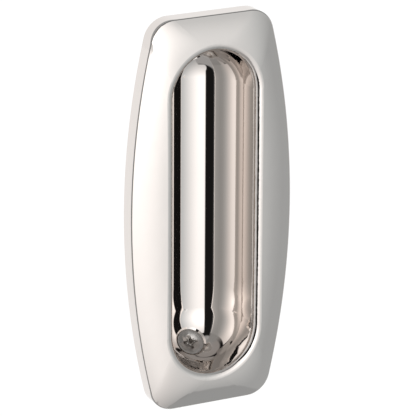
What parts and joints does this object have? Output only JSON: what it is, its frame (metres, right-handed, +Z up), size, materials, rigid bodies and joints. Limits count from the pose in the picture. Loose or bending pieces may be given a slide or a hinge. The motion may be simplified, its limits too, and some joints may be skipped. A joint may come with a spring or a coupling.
{
  "type": "pocket door pull",
  "caption": "Flush pull for a sliding pocket door: a crowned, barrel-shaped plate with a deep rounded finger cup, fixed by countersunk screws through the cup's ends.",
  "frame": {"origin": "middle of the plate's back, in the plane of the door's surface", "axes": "+Y goes into the door, square to its surface; +Z is up, along the plate's length; +X is across the door, to the right as one faces it"},
  "size_m": [0.0606, 0.0276, 0.1396],
  "materials": {
    "polished_nickel": "polished nickel plate over brass",
    "plated_screw": "nickel-plated steel"
  },
  "bodies": {
    "root": {"pull_body": "polished_nickel", "lower_screw": "plated_screw", "upper_screw": "plated_screw"}
  },
  "joints": []
}
